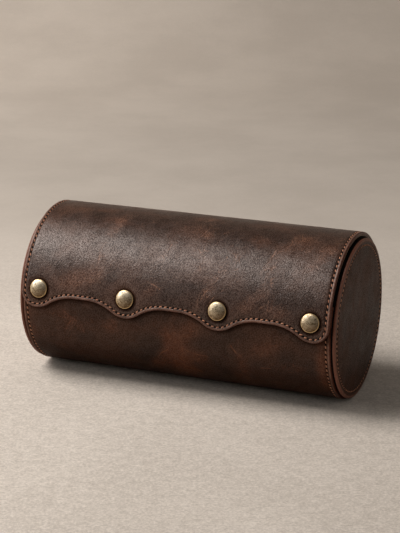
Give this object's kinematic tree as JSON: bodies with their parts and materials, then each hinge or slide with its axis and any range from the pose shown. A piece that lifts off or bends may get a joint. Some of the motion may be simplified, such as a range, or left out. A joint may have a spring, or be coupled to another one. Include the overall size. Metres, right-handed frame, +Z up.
{
  "type": "watch roll",
  "caption": "Cylindrical leather watch roll with a wrap-over scalloped flap closed by press studs, stitched end discs and lift-out cushions inside.",
  "frame": {"origin": "middle of the narrow flat on the underside, where the roll rests on the table", "axes": "+X along the roll, -Y towards the scalloped front edge of the flap, +Z up"},
  "size_m": [0.1936, 0.0979, 0.0957],
  "materials": {
    "outer_leather": "satin",
    "edge_leather": "satin",
    "suede": "matte",
    "board": "matte",
    "aged_brass": "satin",
    "foam": "matte"
  },
  "bodies": {
    "tub": {"body_board": "board", "outer_wrap": "outer_leather", "body_lining": "suede", "front_lip_binding": "edge_leather", "back_lip_binding": "edge_leather", "end_board_left": "board", "end_board_right": "board", "end_facing_left": "outer_leather", "end_facing_right": "outer_leather", "end_lining_left": "suede", "end_lining_right": "suede", "divider_board_left": "board", "divider_board_right": "board", "divider_cover_left": "suede", "divider_cover_right": "suede", "hinge_strip": "outer_leather", "hinge_strip_lining": "suede", "snap_studs": "aged_brass", "snap_posts": "aged_brass"},
    "flap": {"flap_leather": "outer_leather", "flap_lining": "suede"},
    "flap_front": {"flap_front_leather": "outer_leather", "flap_front_lining": "suede", "snap_caps": "aged_brass", "snap_sockets": "aged_brass"},
    "cushion_left": {"cushion_pad_left": "foam", "cushion_sleeve_left": "suede", "cushion_ends_left": "suede"},
    "cushion_middle": {"cushion_pad_middle": "foam", "cushion_sleeve_middle": "suede", "cushion_ends_middle": "suede"},
    "cushion_right": {"cushion_pad_right": "foam", "cushion_sleeve_right": "suede", "cushion_ends_right": "suede"}
  },
  "joints": [
    {"name": "flap_hinge", "type": "hinge", "parent": "tub", "child": "flap", "pos_m": [0, 0.03792, 0.07802], "axis": [-1, 0, 0], "range_deg": [0, 130]},
    {"name": "flap_front_bend", "type": "hinge", "parent": "flap", "child": "flap_front", "pos_m": [0, -0.03312, 0.08299], "axis": [-1, 0, 0], "range_deg": [0, 15], "stiffness_Nm_per_rad": 0.03},
    {"name": "cushion_lift_left", "type": "slide", "parent": "tub", "child": "cushion_left", "axis": [0, 0, 1], "range_m": [0, 0.03]},
    {"name": "cushion_lift_middle", "type": "slide", "parent": "tub", "child": "cushion_middle", "axis": [0, 0, 1], "range_m": [0, 0.03]},
    {"name": "cushion_lift_right", "type": "slide", "parent": "tub", "child": "cushion_right", "axis": [0, 0, 1], "range_m": [0, 0.03]}
  ]
}
